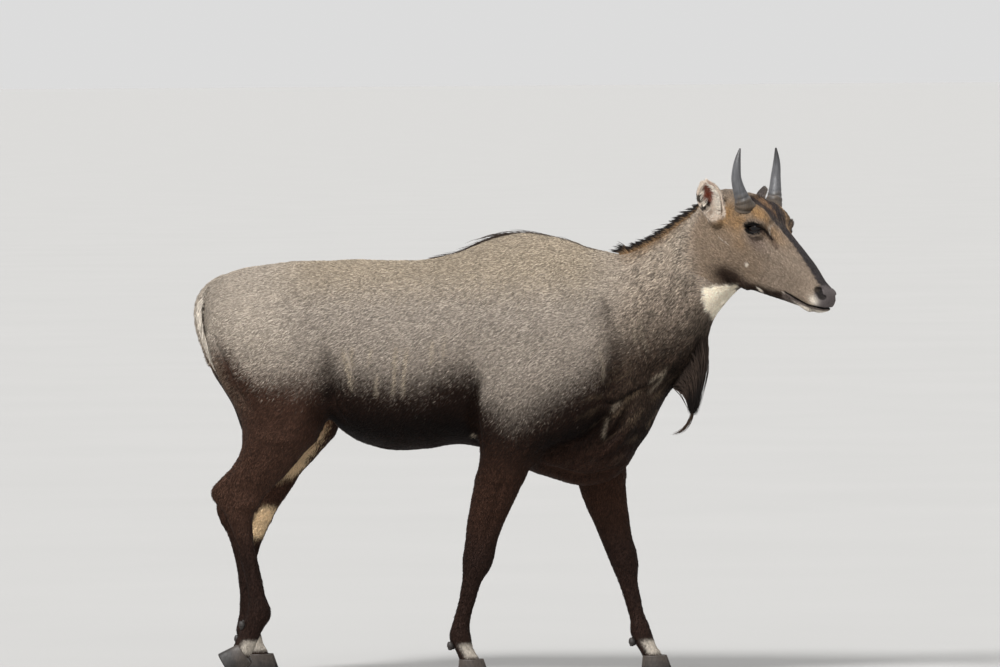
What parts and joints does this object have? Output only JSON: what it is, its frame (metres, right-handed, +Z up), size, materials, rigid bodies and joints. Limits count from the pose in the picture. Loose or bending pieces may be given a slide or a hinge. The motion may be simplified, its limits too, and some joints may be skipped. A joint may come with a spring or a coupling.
{
  "type": "nilgai bull figure",
  "caption": "Life-size still figure of a walking nilgai bull, head turned a little to its right, with short horns, nape mane, withers crest, throat beard and cloven hooves.",
  "frame": {"origin": "on the floor, under the middle of the whole model's box", "axes": "+X forward, the way the body walks; +Y to the animal's left; +Z up"},
  "size_m": [1.8836, 0.4928, 1.5111],
  "materials": {
    "grey_hide": "short flat coat, grizzled grey-brown",
    "dark_hide": "short flat coat, brown-black",
    "head_hide": "short flat coat, tan-brown with dark and white marks",
    "ear_hide": "short coat, white-edged with dark spots",
    "dark_hair": "long coarse hair, black-brown",
    "horn": "horn, grey-black, ridged at the base",
    "hoof": "hoof horn, black",
    "eye": "wet dark brown"
  },
  "bodies": {
    "root": {"eye_left": "eye", "horn_left": "horn", "eye_right": "eye", "horn_right": "horn", "head": "head_hide", "ear_left": "ear_hide", "ear_right": "ear_hide", "fore_right_hoof_inner": "hoof", "fore_right_dewclaw_inner": "hoof", "fore_right_hoof_outer": "hoof", "fore_right_dewclaw_outer": "hoof", "fore_right_upper": "grey_hide", "fore_right_middle": "dark_hide", "fore_right_cannon": "dark_hide", "fore_right_foot": "dark_hide", "fore_left_hoof_inner": "hoof", "fore_left_dewclaw_inner": "hoof", "fore_left_hoof_outer": "hoof", "fore_left_dewclaw_outer": "hoof", "fore_left_upper": "grey_hide", "fore_left_middle": "dark_hide", "fore_left_cannon": "dark_hide", "fore_left_foot": "dark_hide", "hind_right_hoof_inner": "hoof", "hind_right_dewclaw_inner": "hoof", "hind_right_hoof_outer": "hoof", "hind_right_dewclaw_outer": "hoof", "hind_right_upper": "grey_hide", "hind_right_middle": "dark_hide", "hind_right_cannon": "dark_hide", "hind_right_foot": "dark_hide", "hind_left_hoof_inner": "hoof", "hind_left_dewclaw_inner": "hoof", "hind_left_hoof_outer": "hoof", "hind_left_dewclaw_outer": "hoof", "hind_left_upper": "grey_hide", "hind_left_middle": "dark_hide", "hind_left_cannon": "dark_hide", "hind_left_foot": "dark_hide", "torso": "grey_hide", "neck": "grey_hide", "tail": "grey_hide", "tail_tuft": "dark_hair", "mane_nape": "dark_hair", "mane_withers": "dark_hair", "beard": "dark_hair"}
  },
  "joints": []
}
